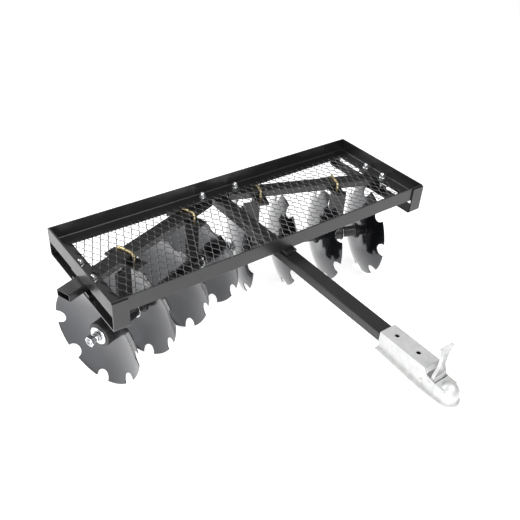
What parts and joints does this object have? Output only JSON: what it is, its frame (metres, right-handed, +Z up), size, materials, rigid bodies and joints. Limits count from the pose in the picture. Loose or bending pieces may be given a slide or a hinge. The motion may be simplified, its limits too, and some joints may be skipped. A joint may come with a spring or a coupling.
{
  "type": "disc harrow",
  "caption": "Tow-behind disc harrow: angle-iron weight tray with a mesh floor over two gangs of notched discs set in a V, with a centre tongue and ball coupler.",
  "frame": {"origin": "on the ground, below the middle of the overall length and width", "axes": "+X across the machine, to the right when seen from behind with the tongue pointing away; +Y to the rear, away from the tongue; +Z up"},
  "size_m": [1.3608, 1.2518, 0.5031],
  "materials": {
    "black_paint": "gloss black powder coat",
    "disc_paint": "gloss dark paint over smooth pressed steel",
    "zinc_hardware": "bright zinc plate",
    "yellow_zinc": "yellow zinc plate",
    "coupler_zinc": "bright zinc plate",
    "axle_steel": "drawn steel"
  },
  "bodies": {
    "frame": {"front_rail": "black_paint", "rear_rail": "black_paint", "left_rail": "black_paint", "right_rail": "black_paint", "floor_mesh": "black_paint", "left_strap": "black_paint", "right_strap": "black_paint", "left_gang_beam": "black_paint", "right_gang_beam": "black_paint", "left_pivot_bolt": "zinc_hardware", "right_pivot_bolt": "zinc_hardware", "left_pivot_spacer": "black_paint", "right_pivot_spacer": "black_paint", "left_clamp_bolts": "zinc_hardware", "right_clamp_bolts": "zinc_hardware", "left_clamp_pads": "black_paint", "right_clamp_pads": "black_paint", "left_inner_hanger": "black_paint", "right_inner_hanger": "black_paint", "left_inner_ubolt": "yellow_zinc", "right_inner_ubolt": "yellow_zinc", "left_outer_hanger": "black_paint", "right_outer_hanger": "black_paint", "left_outer_ubolt": "yellow_zinc", "right_outer_ubolt": "yellow_zinc", "tongue": "black_paint", "tongue_risers": "black_paint", "coupler": "coupler_zinc", "ball_clamp": "coupler_zinc"},
    "left_gang": {"left_axle": "axle_steel", "left_axle_nuts": "zinc_hardware", "left_end_hub": "black_paint", "left_washers": "zinc_hardware", "left_spools": "black_paint", "left_disc_1": "disc_paint", "left_disc_2": "disc_paint", "left_disc_3": "disc_paint", "left_disc_4": "disc_paint"},
    "right_gang": {"right_axle": "axle_steel", "right_axle_nuts": "zinc_hardware", "right_end_hub": "black_paint", "right_washers": "zinc_hardware", "right_spools": "black_paint", "right_disc_1": "disc_paint", "right_disc_2": "disc_paint", "right_disc_3": "disc_paint", "right_disc_4": "disc_paint"},
    "latch": {"latch_lever": "coupler_zinc"}
  },
  "joints": [
    {"name": "left_gang_spin", "type": "hinge", "parent": "frame", "child": "left_gang", "pos_m": [-0.32351, 0.37574, 0.1778], "axis": [0.9424, 0.3344, 0], "continuous": true},
    {"name": "right_gang_spin", "type": "hinge", "parent": "frame", "child": "right_gang", "pos_m": [0.32351, 0.37574, 0.1778], "axis": [0.9424, -0.3344, 0], "continuous": true},
    {"name": "latch_hinge", "type": "hinge", "parent": "frame", "child": "latch", "pos_m": [0, -0.54649, 0.3871], "axis": [1, 0, 0], "range_deg": [-25, 14]}
  ]
}
